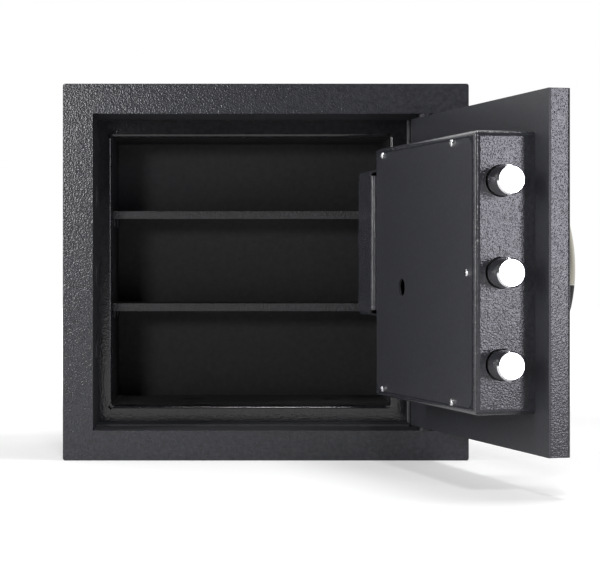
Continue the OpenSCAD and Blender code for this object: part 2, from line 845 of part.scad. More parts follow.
// Lead from the keypad through the door to the lock
module keypad_lead() {
  color(black) rod_n(lead_a, lead_z, -door_t - 2, 3.5, lead_d);
}

// ---- lever ---------------------------------------------------------------

// The lever hangs down while the bolts are drawn

module lever_rose() {
  color(nickel) difference() {
    rod_n(shaft_a, mid_z, -door_t - rose_t, -door_t, rose_d);
    rod_n(shaft_a, mid_z, -door_t - rose_t - 1, 1 - door_t, shaft_d + 1);
  }
}

module lever() {
  lever_t = 12;
  lever_h = 16;
  back = -door_t - rose_t - fit;
  hub = 30;
  hub_d = shaft_d + 12;
  color(nickel) difference() {
    union() {
      rod_n(shaft_a, mid_z, back - hub, back, hub_d);
      translate([shaft_a, 0, mid_z]) rotate([0, turn, 0]) {
        block(0, lever_len, back - hub, back - hub + lever_t, -lever_h / 2, lever_h / 2);
        rod_n(lever_len, 0, back - hub, back - hub + lever_t, lever_h);
      }
    }
    rod_n(shaft_a, mid_z, back - shaft_out, back + 1, shaft_d + 2 * seat);
  }
}

module shaft() {
  color(bright) difference() {
    rod_n(shaft_a, mid_z, -door_t - rose_t - fit - shaft_out, crank_n0 + crank_t, shaft_d);
    difference() {
      rod_n(shaft_a, mid_z, crank_n0 + crank_t - 2, crank_n0 + crank_t - 1, shaft_d + 1);
      rod_n(shaft_a, mid_z, crank_n0, crank_n0 + crank_t + 1, shaft_d - 2);
    }
  }
}

// Crank on the shaft, shown with the bolts drawn
module crank() {
  arm = crank_t - 2 - fit;
  pin_a = crank_r * sin(turn / 2);
  pin_z = crank_r * cos(turn / 2);
  color("silver") {
    deep(crank_n0, crank_n0 + arm) difference() {
      translate([shaft_a, mid_z]) {
        circle(d = shaft_d + 12);
        rotate(-turn / 2) translate([-6, 0]) square([12, crank_r]);
        translate([pin_a, pin_z]) circle(d = 14);
      }
      translate([shaft_a, mid_z]) circle(d = shaft_d + 2 * seat);
    }
    rod_n(shaft_a + pin_a, mid_z + pin_z, crank_n0 + 1, link_n0 + link_t + 1, crank_pin_d);
  }
}

module crank_clip() {
  groove = crank_n0 + crank_t - 2;
  color(bright) difference() {
    rod_n(shaft_a, mid_z, groove + 0.05, groove + 0.95, shaft_d + 6);
    rod_n(shaft_a, mid_z, groove - 1, groove + 2, shaft_d - 2 + 2 * seat);
  }
}

// ---- keypad --------------------------------------------------------------

// Flat top with two round shoulders, swept round the keypad's arch
module arched(inset) {
  translate([pad_a1 - inset, arch_r - pad_q - door_t, pad_z]) rotate([0, 90, 0])
    rotate_extrude($fn = 240) rotate(-90) fold(pad_w - 2 * inset, arch_r - inset, pad_r - inset);
}

// The keypad's solid: an upright rounded outline under the arch
module pad_solid(inset) {
  intersection() {
    deep(-door_t - pad_q, -door_t - base_q)
      rounded(pad_a0 + inset, pad_a1 - inset, pad_z0 + inset, pad_z0 + pad_h - inset,
        pad_corner - inset);
    arched(inset);
  }
}

module keypad_base() {
  color(black) difference() {
    deep(-door_t - base_q, -door_t)
      rounded(pad_a0 + 1, pad_a1 - 1, pad_z0 + 1, pad_z0 + pad_h - 1, pad_corner - 1);
    rod_n(lead_a, lead_z, -door_t - 2, 1 - door_t, lead_d + 2 * seat);
  }
}

module keypad_housing() {
  color(nickel) difference() {
    pad_solid(0);
    block(pad_a0 - 1, pad_a1 + 1, -door_t - pad_q - 1, -door_t, pad_z0 - 1, split_z);
    deep(-door_t - pad_q - 1, -door_t - pocket_q)
      rounded(pad_a - pocket_w / 2, pad_a + pocket_w / 2, pocket_z0, pocket_z0 + pocket_h, 3);
    translate([0, eps, 0]) intersection() {
      pad_solid(wall);
      block(pad_a0, pad_a1, -door_t - pocket_q + wall, 0, split_z + wall, pad_z0 + pad_h);
    }
    for (k = [1 : 12])
      rod_n(key_a(k), key_z(k), -door_t - pocket_q - 1, -door_t - pocket_q + wall + 1,
        stem_d + 2 * fit);
  }
}

module keypad_battery_cover() {
  color(black) difference() {
    pad_solid(0);
    block(pad_a0 - 1, pad_a1 + 1, -door_t - pad_q - 1, -door_t, split_z - fit, pad_z0 + pad_h + 1);
    translate([0, eps, 0]) intersection() {
      pad_solid(wall);
      block(pad_a0, pad_a1, -door_t - pad_q, 0, pad_z0, split_z - fit - wall);
    }
  }
}

// Key number k, counted from the top row, on a stem through the pocket's floor
module key(k) {
  a = key_a(k);
  z = key_z(k);
  color(dark) {
    intersection() {
      deep(-door_t - pad_q - 2 * key_proud, -door_t - key_q0)
        rounded(a - key_w / 2, a + key_w / 2, z - key_w / 2, z + key_w / 2, 2);
      arched(-key_proud);
    }
    rod_n(a, z, -door_t - key_q0, -door_t - pocket_q + wall + 2, stem_d);
  }
}

// ---- assembly ------------------------------------------------------------

translate([0, -body_d / 2, 0]) {
  outer_wrap();
  face_frame();
  back_plate();
  inner_liner();
  wall_filling();
  hinge_stile();
  shelf_upper();
  shelf_lower();
  shelf_brackets();
  floor_carpet();
  hinge_blocks();
  hinge_pins();
  hinge_washers();
  on_door() {
    door_pan();
    door_back_plate();
    door_filling();
    hard_plate();
    pivot_blocks();
    pivot_bushes();
    boltwork_cover();
    cover_panel();
    panel_screws();
    battery_box();
    battery_box_screws();
    battery_holder();
    batteries();
    battery_lead();
    bolt_guide();
    guide_screws();
    lock_body();
    lock_screws();
    keypad_lead();
    lever_rose();
    keypad_base();
    keypad_housing();
    keypad_battery_cover();
    bolt_upper();
    bolt_middle();
    bolt_lower();
    bolt_bar();
    bar_screws();
    bolt_link();
    lock_tab();
    lever();
    shaft();
    crank();
    crank_clip();
    lock_plunger();
    for (k = [1 : 12]) key(k);
  }
}
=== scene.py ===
# %% [markdown]
# # A wall safe with its door open
#
# The safe is a steel box inside a steel box, with a cast filling between them.
# Its shapes were built to size beforehand, and this lesson dresses them: it
# gives every surface its finish, and models the small pieces that catch the
# eye. All lengths are in metres, +X runs right, +Y into the safe and +Z up.

# %% Load the safe
import json
import math

import bmesh
import bpy
from mathutils import Matrix, Vector


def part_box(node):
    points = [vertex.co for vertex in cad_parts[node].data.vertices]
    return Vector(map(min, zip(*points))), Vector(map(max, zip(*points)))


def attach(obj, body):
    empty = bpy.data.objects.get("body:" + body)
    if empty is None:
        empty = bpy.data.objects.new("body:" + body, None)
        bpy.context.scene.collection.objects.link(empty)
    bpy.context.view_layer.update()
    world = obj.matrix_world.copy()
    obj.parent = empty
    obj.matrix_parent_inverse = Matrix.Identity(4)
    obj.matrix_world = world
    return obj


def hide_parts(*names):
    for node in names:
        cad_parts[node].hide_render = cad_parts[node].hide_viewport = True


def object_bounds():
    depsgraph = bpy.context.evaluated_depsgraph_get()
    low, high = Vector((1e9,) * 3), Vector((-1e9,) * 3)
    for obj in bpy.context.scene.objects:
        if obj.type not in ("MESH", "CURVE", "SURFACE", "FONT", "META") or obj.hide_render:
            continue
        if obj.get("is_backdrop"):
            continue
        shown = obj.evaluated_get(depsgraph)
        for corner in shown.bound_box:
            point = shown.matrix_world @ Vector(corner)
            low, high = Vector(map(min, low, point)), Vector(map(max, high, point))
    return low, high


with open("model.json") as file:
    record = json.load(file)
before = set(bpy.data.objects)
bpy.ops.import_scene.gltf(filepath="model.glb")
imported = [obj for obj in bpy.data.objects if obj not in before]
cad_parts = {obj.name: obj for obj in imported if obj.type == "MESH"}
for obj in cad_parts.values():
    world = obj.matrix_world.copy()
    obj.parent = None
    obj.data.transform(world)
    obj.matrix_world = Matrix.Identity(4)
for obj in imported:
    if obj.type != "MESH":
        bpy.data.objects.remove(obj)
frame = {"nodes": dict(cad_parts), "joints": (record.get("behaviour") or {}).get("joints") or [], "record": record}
nodes = frame["nodes"]
built_box = [list(corner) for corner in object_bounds()]
joints = {joint["name"]: joint for joint in frame["joints"]}
scene = bpy.context.scene
MM = 0.001
print("safe loaded,", len(nodes), "nodes")

# %% [markdown]
# ## Axes of the door
#
# The door stands open, so its pieces lie at an angle. They are easier to model
# lying square, along the door's own axes, and to turn into place afterwards.
# The joints already hold those axes: the bolts slide towards the free edge,
# and a key is pressed into the door. The door's frame has its origin on the
# pivot, x towards the hinge edge, y into the safe and z up.

# %% The door's frame
toward_hinge = -Vector(joints["bolt_throw"]["axis"])
into_safe = Vector(joints["key_1_press"]["axis"])
up = Vector((0, 0, 1))
pivot = Vector(joints["door_swing"]["pos_m"])
pivot.z = 0
door_axes = Matrix((toward_hinge, into_safe, up)).transposed()
DOOR = Matrix.Translation(pivot) @ door_axes.to_4x4()


def door_points(node):
    """The points of a node, along the door's own axes."""
    return [DOOR.inverted() @ vertex.co for vertex in nodes[node].data.vertices]


def door_box(node):
    """Lowest and highest corner of a node, along the door's own axes."""
    turned = door_points(node)
    low = Vector([min(point[i] for point in turned) for i in range(3)])
    high = Vector([max(point[i] for point in turned) for i in range(3)])
    return low, high


plate_low, plate_high = door_box("door_back_plate")
print("door plate, mm:", [round(size / MM, 1) for size in plate_high - plate_low])

# %% [markdown]
# ## Camera
#
# The camera stands level, a little left of the middle, and looks straight at
# the face, so the face stays a true rectangle. A long lens keeps the depth
# gentle, and the shift places the safe in the frame without tilting the view.

# %% Camera
DISTANCE = 1.857                # from the lens to the face
EYE_X, EYE_Z = -0.036, 0.1923
VIEW_WIDTH = 0.6                # what the picture spans at the face
SENSOR_WIDTH = 36               # in millimetres, as lenses are given
SHIFT_X, SHIFT_Y = 0.117, -0.0337
FARTHEST = 30

face_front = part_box("face_frame")[0].y
camera_data = bpy.data.cameras.new("camera")
camera_data.sensor_width = SENSOR_WIDTH
camera_data.lens = SENSOR_WIDTH * DISTANCE / VIEW_WIDTH
camera_data.shift_x = SHIFT_X
camera_data.shift_y = SHIFT_Y
camera_data.clip_end = FARTHEST
camera = bpy.data.objects.new("camera", camera_data)
camera.location = (EYE_X, face_front - DISTANCE, EYE_Z)
camera.rotation_euler = (math.pi / 2, 0, 0)
scene.collection.objects.link(camera)
scene.camera = camera
print("lens, mm:", round(camera_data.lens, 1))

# %% [markdown]
# ## Materials from nodes
#
# Every finish is a small network of nodes round one Principled shader. A
# picture would be quicker, but a network has no seams and no limit to its
# detail. The steps that all finishes share are helpers: start a material, add a
# node with its settings, grade a value or a tone, and raise a bump.

# %% Helpers for materials
scene.view_settings.view_transform = "Standard"


def new_material(name, color, roughness, metallic=0.0):
    """A material with one Principled shader, and the handles to build on."""
    material = bpy.data.materials.new(name)
    material.use_nodes = True
    shader = material.node_tree.nodes["Principled BSDF"]
    shader.inputs["Base Color"].default_value = (*color, 1)
    shader.inputs["Roughness"].default_value = roughness
    shader.inputs["Metallic"].default_value = metallic
    return material, material.node_tree, shader


def add(tree, kind, **settings):
    """A node with its settings and inputs. Inputs are written with _ for a space."""
    node = tree.nodes.new(kind)
    for key, value in settings.items():
        if hasattr(node, key):
            setattr(node, key, value)
        else:
            node.inputs[key.replace("_", " ")].default_value = value
    return node


def object_coordinates(tree):
    """Places on the piece itself, in metres."""
    return add(tree, "ShaderNodeTexCoord").outputs["Object"]


def smooth_rise(tree, start, end, before, after):
    """A node that takes a value from before to after, between start and end."""
    return add(tree, "ShaderNodeMapRange", interpolation_type="SMOOTHSTEP",
               From_Min=start, From_Max=end, To_Min=before, To_Max=after)


def color_tones(tree, shader, texture, color, darker, lighter, start=0.0, end=1.0):
    """Let a texture run from a darker to a lighter tone of the colour."""
    ramp = add(tree, "ShaderNodeValToRGB")
    stops = zip(ramp.color_ramp.elements, (darker, lighter), (start, end))
    for stop, tone, position in stops:
        stop.color = (*[min(1, channel * tone) for channel in color], 1)
        stop.position = position
    tree.links.new(texture.outputs["Fac"], ramp.inputs["Fac"])
    tree.links.new(ramp.outputs[0], shader.inputs["Base Color"])


def raise_bumps(tree, shader, texture, depth):
    """Let a texture raise the surface, by depth at most."""
    bump = add(tree, "ShaderNodeBump", Strength=1.0, Distance=depth)
    tree.links.new(texture.outputs["Fac"], bump.inputs["Height"])
    tree.links.new(bump.outputs[0], shader.inputs["Normal"])


print("colours are shown as they are written:", scene.view_settings.view_transform)

# %% [markdown]
# ## Floor and backdrop
#
# The safe stands in a white studio. A white floor that is lit only as much as
# the safe would look grey, so the floor glows a little for the camera, and more
# the further away it is: the white runs out to the horizon without an edge, and
# near the safe the floor still takes its soft shadow. Polished steel has to
# reflect that white too, but the full glow would fill the dark coat with milky
# reflections, so a reflection sees about a third of it.

# %% Glow that casts no light
GLOW_REFLECTED = 0.35


def seen_directly(tree):
    """One for rays from the camera, less for a reflection, and nought for light."""
    path = add(tree, "ShaderNodeLightPath")
    reflected = add(tree, "ShaderNodeMath", operation="MULTIPLY")
    reflected.inputs[1].default_value = GLOW_REFLECTED
    seen = add(tree, "ShaderNodeMath", operation="MAXIMUM")
    tree.links.new(path.outputs["Is Glossy Ray"], reflected.inputs[0])
    tree.links.new(path.outputs["Is Camera Ray"], seen.inputs[0])
    tree.links.new(reflected.outputs[0], seen.inputs[1])
    return seen.outputs[0]


print("share of the glow in a reflection:", GLOW_REFLECTED)

# %% Floor
FLOOR_RADIUS = 7
FLOOR_WHITE = (0.74, 0.74, 0.74)
FLOOR_ROUGHNESS = 0.9
GLOW_START, GLOW_END = 0.55, 1.3        # how far from the safe the glow rises
GLOW_NEAR, GLOW_FAR = 0.38, 1.1         # its strength before and after

bpy.ops.object.select_all(action="DESELECT")
bpy.ops.mesh.primitive_circle_add(vertices=96, radius=FLOOR_RADIUS, fill_type="NGON")
floor = bpy.context.object
floor.name = "studio_floor"
material, tree, shader = new_material("studio_white", FLOOR_WHITE, FLOOR_ROUGHNESS)
shader.inputs["Specular IOR Level"].default_value = 0.0
distance = add(tree, "ShaderNodeVectorMath", operation="LENGTH")
glow_rise = smooth_rise(tree, GLOW_START, GLOW_END, GLOW_NEAR, GLOW_FAR)
glow_seen = add(tree, "ShaderNodeMath", operation="MULTIPLY")
glow = add(tree, "ShaderNodeEmission", Color=(1, 1, 1, 1))
both = add(tree, "ShaderNodeAddShader")
tree.links.new(object_coordinates(tree), distance.inputs[0])
tree.links.new(distance.outputs["Value"], glow_rise.inputs["Value"])
tree.links.new(glow_rise.outputs["Result"], glow_seen.inputs[0])
tree.links.new(seen_directly(tree), glow_seen.inputs[1])
tree.links.new(glow_seen.outputs[0], glow.inputs["Strength"])
tree.links.new(shader.outputs[0], both.inputs[0])
tree.links.new(glow.outputs[0], both.inputs[1])
tree.links.new(both.outputs[0], tree.nodes["Material Output"].inputs["Surface"])
floor.data.materials.append(material)
floor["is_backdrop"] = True
print("floor glows from", GLOW_START, "m out")

# %% Backdrop
ROOM_FRONT, ROOM_BACK = 0.01, 1.0       # brightness behind the camera and behind the safe
ROOM_TURN = (-0.3, 0.7)                 # where it changes, along the direction's Y

world = bpy.data.worlds.new("studio")
scene.world = world
world.use_nodes = True
sky = world.node_tree
ambient = sky.nodes["Background"]
ambient.inputs["Color"].default_value = (1, 1, 1, 1)
direction = add(sky, "ShaderNodeSeparateXYZ")
backdrop = smooth_rise(sky, *ROOM_TURN, ROOM_FRONT, ROOM_BACK)
looked_at = add(sky, "ShaderNodeMath", operation="MAXIMUM")
light_path = add(sky, "ShaderNodeLightPath")
sky.links.new(add(sky, "ShaderNodeTexCoord").outputs["Generated"], direction.inputs[0])
sky.links.new(direction.outputs["Y"], backdrop.inputs["Value"])
sky.links.new(backdrop.outputs["Result"], looked_at.inputs[0])
sky.links.new(light_path.outputs["Is Camera Ray"], looked_at.inputs[1])
sky.links.new(looked_at.outputs[0], ambient.inputs["Strength"])
print("backdrop:", ROOM_BACK, "room in front:", ROOM_FRONT)

# %% [markdown]
# ## Lamps
#
# Dark paint shows mostly what it reflects, so the lamps are placed for the
# surfaces that should catch them. The key lamp stands high in front. One lamp
# hangs over the door and throws its shadow on the floor. A tall narrow one on
# the right, a little blue, lights the cover's side and the bolts. A small one
# on the left, a little above the safe, glints in the grain of the face, and a
# large one far to the left lights the inner side of the door.


# %% Lamps
def soft_lamp(name, place, aim, size, power, color=(1, 1, 1)):
    """A softbox at a place, turned to an aim. Its size is width and height."""
    data = bpy.data.lights.new(name, "AREA")
    data.shape = "RECTANGLE"
    data.size, data.size_y = size
    data.energy = power
    data.color = color
    lamp = bpy.data.objects.new(name, data)
    scene.collection.objects.link(lamp)
    lamp.location = place
    toward = Vector(aim) - Vector(place)
    lamp.rotation_euler = toward.to_track_quat("-Z", "Y").to_euler()


MIDDLE = (0.0, 0.0, 0.19)
UNDER_DOOR = (0.3, -0.2, 0)
ON_DOOR = (0.2, -0.4, 0.3)
PALE_BLUE = (0.91, 0.89, 1)
soft_lamp("key", (0.1, -2.1, 2.3), MIDDLE, size=(0.3, 0.3), power=16)
soft_lamp("top", (0.42, -0.22, 1.8), UNDER_DOOR, size=(0.45, 0.45), power=12)
soft_lamp("right", (1.42, -2.0, 0.40), ON_DOOR, size=(0.32, 0.9), power=10.4, color=PALE_BLUE)
soft_lamp("left", (-0.72, -2.4, 0.54), MIDDLE, size=(0.24, 0.24), power=9)
soft_lamp("side", (-2.0, -1.0, 0.85), MIDDLE, size=(0.6, 1.6), power=29)

# %% [markdown]
# ## Powder coat
#
# The whole safe wears one anthracite powder coat. Outside it is a coarse
# "orange peel": a skin of round blobs, about two millimetres apart, that
# breaks a reflection into sparkles. The flat inner panels were sprayed
# thinner and look almost smooth. All come from one recipe: a noise with round
# blobs raises the surface, and a broader one lets the tone vary a little. Where
# the gun hardly reaches, in the door's recess and in the compartment, the coat
# turns dry and matte, so two of the coats fade to matte along Y. The pattern
# follows Object coordinates, which are in metres, so its scale is true
# everywhere.

# %% The coat
MATTE = 0.65            # roughness of a dry coat
FADE = 0.006            # over this depth the gloss goes


def powder_coat(name, color, roughness, depth, grain, matte_behind=None, shine=0.5):
    """Anthracite coat: depth is the height of the blobs, grain their spacing.

    Behind the place matte_behind, along Y, the coat is matte.
    """
    material, tree, shader = new_material(name, color, roughness)
    shader.inputs["Specular IOR Level"].default_value = shine
    place = object_coordinates(tree)
    blobs = add(tree, "ShaderNodeTexNoise", Scale=1 / grain, Detail=0.5, Roughness=0.4)
    clouds = add(tree, "ShaderNodeTexNoise", Scale=0.35 / grain, Detail=3.0, Roughness=0.6)
    for texture in (blobs, clouds):
        tree.links.new(place, texture.inputs["Vector"])
    raise_bumps(tree, shader, blobs, depth)
    color_tones(tree, shader, clouds, color, darker=0.72, lighter=1.3, start=0.3, end=0.75)
    if matte_behind is not None:
        along = add(tree, "ShaderNodeSeparateXYZ")
        fade = smooth_rise(tree, matte_behind, matte_behind + FADE, roughness, MATTE)
        tree.links.new(place, along.inputs[0])
        tree.links.new(along.outputs["Y"], fade.inputs["Value"])
        tree.links.new(fade.outputs["Result"], shader.inputs["Roughness"])
    return material


# %% Five coats
COAT = (0.034, 0.035, 0.041)
THIN_COAT = (0.033, 0.034, 0.040)
# The inside and shelf colours are darker than the coat: painted shade for the compartment, whose real coat is the
# same anthracite.
SHADED_INSIDE_COAT = (0.021, 0.021, 0.024)
SHADED_SHELF_COAT = (0.022, 0.022, 0.025)
RECESS_Y = -0.113                       # just behind the face
COMPARTMENT_Y = -0.030                  # just behind the compartment's front

coarse_coat = powder_coat("coarse_coat", COAT, 0.17, depth=0.00018, grain=0.0013)
frame_coat = powder_coat("frame_coat", COAT, 0.23, depth=0.00024, grain=0.0015,
                         matte_behind=RECESS_Y)
fine_coat = powder_coat("fine_coat", THIN_COAT, 0.40, depth=0.00006, grain=0.0011)
# inside_coat and shelf_coat carry the darker colours, which are painted shade for the compartment.
inside_coat = powder_coat("inside_coat", SHADED_INSIDE_COAT, 0.11, depth=0.00008, grain=0.0017,
                          matte_behind=COMPARTMENT_Y, shine=0.55)
shelf_coat = powder_coat("shelf_coat", SHADED_SHELF_COAT, 0.45, depth=0.00040, grain=0.0018)
coats = (coarse_coat, frame_coat, fine_coat, inside_coat, shelf_coat)
print("coats:", [coat.name for coat in coats])

# %% [markdown]
# ## Bare metals
#
# The bolts are turned steel with a bright nickel plate, almost a mirror. The
# lever and the keypad are satin nickel, brushed one way. Inside the cover the
# plates are zinc, cloudy and a little yellow. All come from one noise that
# changes the gloss and raises a fine bump: drawn out along one axis it becomes
# brush strokes, and large and even it becomes the zinc's clouds.


# %% Metals
def metal(name, color, roughness, grain, depth, stretch=(1, 1, 1)):
    """Metal with a fine pattern. A stretch below one draws it out along that axis."""
    material, tree, shader = new_material(name, color, roughness, metallic=1.0)
    squeeze = add(tree, "ShaderNodeMapping", Scale=stretch)
    scratch = add(tree, "ShaderNodeTexNoise", Scale=1 / grain, Detail=4.0, Roughness=0.65)
    gloss = add(tree, "ShaderNodeMapRange", To_Min=roughness * 0.75, To_Max=roughness * 1.3)
    tree.links.new(object_coordinates(tree), squeeze.inputs["Vector"])
    tree.links.new(squeeze.outputs[0], scratch.inputs["Vector"])
    tree.links.new(scratch.outputs["Fac"], gloss.inputs["Value"])
    tree.links.new(gloss.outputs[0], shader.inputs["Roughness"])
    raise_bumps(tree, shader, scratch, depth)
    return material


BRUSHED_UP = (1, 1, 0.06)
bright_steel = metal("bright_steel", (0.82, 0.82, 0.84), 0.16, grain=0.0009, depth=0.000003)
satin_nickel = metal("satin_nickel", (0.50, 0.475, 0.40), 0.30, grain=0.0006, depth=0.00001,
                     stretch=BRUSHED_UP)
zinc_plate = metal("zinc_plate", (0.60, 0.59, 0.56), 0.36, grain=0.006, depth=0.00002)
black_steel = metal("black_steel", (0.05, 0.05, 0.055), 0.45, grain=0.0008, depth=0.00002)
bronze = metal("bronze", (0.55, 0.38, 0.18), 0.42, grain=0.0008, depth=0.00003)
metals = (bright_steel, satin_nickel, zinc_plate, black_steel, bronze)
print("metals:", [finish.name for finish in metals])

# %% [markdown]
# ## Plastics, rubber, filling and carpet
#
# Moulded and cast stuff has an even grain with no direction. One recipe serves
# them all: the same noise raises the grain and darkens its hollows. A fine low
# grain gives plastic, rubber and printed film. A deep one with hardly any gloss
# gives the filling's mortar and the carpet's pile.


# %% Soft and moulded finishes
def moulded(name, color, roughness, grain, depth, shine=0.5):
    """Plastic, rubber or cast stuff with an even grain."""
    material, tree, shader = new_material(name, color, roughness)
    shader.inputs["Specular IOR Level"].default_value = shine
    texture = add(tree, "ShaderNodeTexNoise", Scale=1 / grain, Detail=5.0, Roughness=0.7)
    tree.links.new(object_coordinates(tree), texture.inputs["Vector"])
    raise_bumps(tree, shader, texture, depth)
    color_tones(tree, shader, texture, color, darker=0.7, lighter=1.35)
    return material


black_plastic = moulded("black_plastic", (0.012, 0.012, 0.013), 0.5, grain=0.0007,
                        depth=0.00005, shine=0.18)
key_rubber = moulded("key_rubber", (0.016, 0.016, 0.018), 0.62, grain=0.0004, depth=0.00003)
filling = moulded("mineral_filling", (0.42, 0.41, 0.38), 0.9, grain=0.004, depth=0.0006)
carpet = moulded("carpet_pile", (0.010, 0.010, 0.011), 1.0, grain=0.0011, depth=0.0009)
battery_wrap = moulded("battery_wrap", (0.03, 0.07, 0.16), 0.3, grain=0.01, depth=0.00001)
white_print = moulded("white_print", (0.72, 0.72, 0.70), 0.5, grain=0.0005, depth=0.00001)
soft = (black_plastic, key_rubber, filling, carpet, battery_wrap, white_print)
print("soft and moulded:", [finish.name for finish in soft])

# %% [markdown]
# ## Helpers for modelling
#
# Blender's tools act on whatever is selected, so a script has to select as
# carefully as a hand does. `only` takes one piece and drops the rest, and the
# pickers choose faces, edges or points by where they lie, as one would point at
# them in the viewport. `rod` and `block` add the two shapes that most pieces
# start from. `settle` puts the finished mesh in its place: the mesh moves and
# the object stays at the origin, so a pattern on Object coordinates has the
# same scale on every piece.


# %% Select and edit
def only(piece):
    """Select this piece alone and make it the active one."""
    bpy.ops.object.select_all(action="DESELECT")
    piece.select_set(True)
    bpy.context.view_layer.objects.active = piece


def edit(piece):
    """Open the piece in edit mode."""
    only(piece)
    bpy.ops.object.mode_set(mode="EDIT")
    bpy.ops.mesh.select_all(action="SELECT")


def done():
    """Leave edit mode."""
    bpy.ops.object.mode_set(mode="OBJECT")


# %% Pick faces, edges and points
NEAR = 1e-6             # closer than this, two places are the same


def choose(piece, kind):
    """In edit mode, drop the selection and hand over the mesh."""
    bpy.ops.mesh.select_mode(type=kind)
    bpy.ops.mesh.select_all(action="DESELECT")
    return bmesh.from_edit_mesh(piece.data)


def pick_faces(piece, wanted):
    """Select the faces whose middle and normal are wanted."""
    mesh = choose(piece, "FACE")
    for face in mesh.faces:
        face.select_set(wanted(face.calc_center_median(), face.normal))
    bmesh.update_edit_mesh(piece.data)


def pick_edges(piece, wanted):
    """Select the edges whose two ends are wanted."""
    mesh = choose(piece, "EDGE")
    for edge in mesh.edges:
        edge.select_set(wanted(edge.verts[0].co, edge.verts[1].co))
    bmesh.update_edit_mesh(piece.data)


def pick_points(piece, wanted):
    """Select the points whose place is wanted."""
    mesh = choose(piece, "VERT")
    for vertex in mesh.verts:
        vertex.select_set(wanted(vertex.co))
    mesh.select_flush_mode()
    bmesh.update_edit_mesh(piece.data)


def pick_rim(piece, height):
    """Select the edges that lie at a height."""
    pick_edges(piece, lambda a, b: max(abs(a.z - height), abs(b.z - height)) < NEAR)


def pick_top(piece):
    """Select the faces that look straight up."""
    pick_faces(piece, lambda at, normal: normal.z > 0.99)


def pick_underside(piece):
    """Select the faces that look straight down."""
    pick_faces(piece, lambda at, normal: normal.z < -0.99)


# %% Start, combine and settle a piece
def place_in_mesh(piece):
    """Move where the object stands, and how it is turned, into its mesh."""
    only(piece)
    bpy.ops.object.transform_apply(location=True, rotation=True, scale=True)


def rod(radius, length, sides, foot=(0, 0, 0)):
    """A cylinder that stands upright on its foot."""
    bpy.ops.object.select_all(action="DESELECT")
    bpy.ops.mesh.primitive_cylinder_add(
        vertices=sides, radius=radius, depth=length,
        location=Vector(foot) + Vector((0, 0, length / 2)))
    piece = bpy.context.object
    place_in_mesh(piece)
    return piece


def block(size, middle, turn=0.0):
    """A block of a size round its middle, turned about the vertical."""
    bpy.ops.object.select_all(action="DESELECT")
    bpy.ops.mesh.primitive_cube_add(size=1, location=middle)
    piece = bpy.context.object
    piece.scale = size
    piece.rotation_euler.z = turn
    place_in_mesh(piece)
    return piece


def apply_modifier(piece, kind, **settings):
    """Give the piece a modifier and apply it at once."""
    only(piece)
    modifier = piece.modifiers.new(kind.lower(), kind)
    for key, value in settings.items():
        setattr(modifier, key, value)
    bpy.ops.object.modifier_apply(modifier=modifier.name)


def combine(piece, other, operation):
    """Take the other piece out of this one, or weld it on."""
    apply_modifier(piece, "BOOLEAN", operation=operation, solver="EXACT", object=other)
    bpy.data.objects.remove(other)


def shade_smooth(piece, degrees):
    """Shade smooth, but for edges that are sharper than the angle."""
    only(piece)
    bpy.ops.object.shade_smooth_by_angle(angle=math.radians(degrees))


def settle(piece, name, place, body, material, smooth=35):
    """Name the piece, put it in place, and let it ride on its body."""
    piece.data.transform(place)
    piece.data.materials.clear()
    piece.data.materials.append(material)
    shade_smooth(piece, smooth)
    piece.name = name
    piece.data.name = name
    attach(piece, body)


def copy_of(piece):
    """A copy with a mesh of its own."""
    double = piece.copy()
    double.data = piece.data.copy()
    scene.collection.objects.link(double)
    return double


# %% [markdown]
# ## Screws with a cross recess
#
# Pan-head screws hold the panel and the battery box. Each head is a low dome
# with a cross pressed into it. One screw is modelled and then copied: a
# cylinder whose rim is bevelled into the dome, with the shank drawn out of its
# underside and the cross cut by two narrow wedges. A fitter never leaves two
# crosses at the same angle, so every copy is turned by its own amount.

# %% One screw
DOME = 0.62                             # how far down the head its dome reaches
SHANK = 0.55                            # the shank's radius, by the head's
CROSS_REACH, CROSS_WIDTH = 1.25, 0.26   # of the cross's arms, by the head's radius
CROSS_DEPTH, CROSS_TAPER = 1.1, 0.6     # by the head's height, and towards its bottom


def cross_screw(radius, height, shank_length):
    """A screw that points its head along +Z and seats on z = 0."""
    screw = rod(radius, height, sides=40)
    edit(screw)
    pick_rim(screw, height)
    bpy.ops.mesh.bevel(offset=height * DOME, segments=6, affect="EDGES")
    pick_underside(screw)
    bpy.ops.mesh.inset(thickness=radius - SHANK * radius)
    bpy.ops.mesh.extrude_region_move(
        TRANSFORM_OT_translate={"value": (0, 0, -shank_length)})
    done()
    for quarter in (0, math.pi / 2):
        size = (radius * CROSS_REACH, radius * CROSS_WIDTH, height * CROSS_DEPTH)
        wedge = block(size, (0, 0, height), quarter)
        edit(wedge)
        pick_underside(wedge)
        bpy.ops.transform.resize(value=(CROSS_TAPER, CROSS_TAPER, 1))
        done()
        combine(screw, wedge, "DIFFERENCE")
    return screw


# %% Where the screws sit
def solids_of(node, reach=0.008):
    """Boxes, along the door's axes, of a node's separate solids.

    Points within reach of each other belong to the same solid.
    """
    boxes = []
    for point in door_points(node):
        for low, high in boxes:
            if all(low[i] - reach < point[i] < high[i] + reach for i in range(3)):
                for i in range(3):
                    low[i] = min(low[i], point[i])
                    high[i] = max(high[i], point[i])
                break
        else:
            boxes.append((point.copy(), point.copy()))
    return boxes


panel_seats = solids_of("panel_screws")
cover_face = door_box("boltwork_cover")[1].y
first_low, first_high = panel_seats[0]
screw_radius = (first_high.x - first_low.x) / 2
print("screw heads, mm:", round(2 * screw_radius / MM, 1))

# %% Screws of the panel and of the battery box
OUT_OF_DOOR = Matrix.Rotation(-math.pi / 2, 4, "X")
UPSIDE_DOWN = Matrix.Rotation(math.pi, 4, "X")
UPRIGHT = Matrix.Identity(4)
PANEL_TURNS = (0.35, 1.1, 0.05, 0.8, 1.35)
BATTERY_TURNS = (0.6, 0.2)


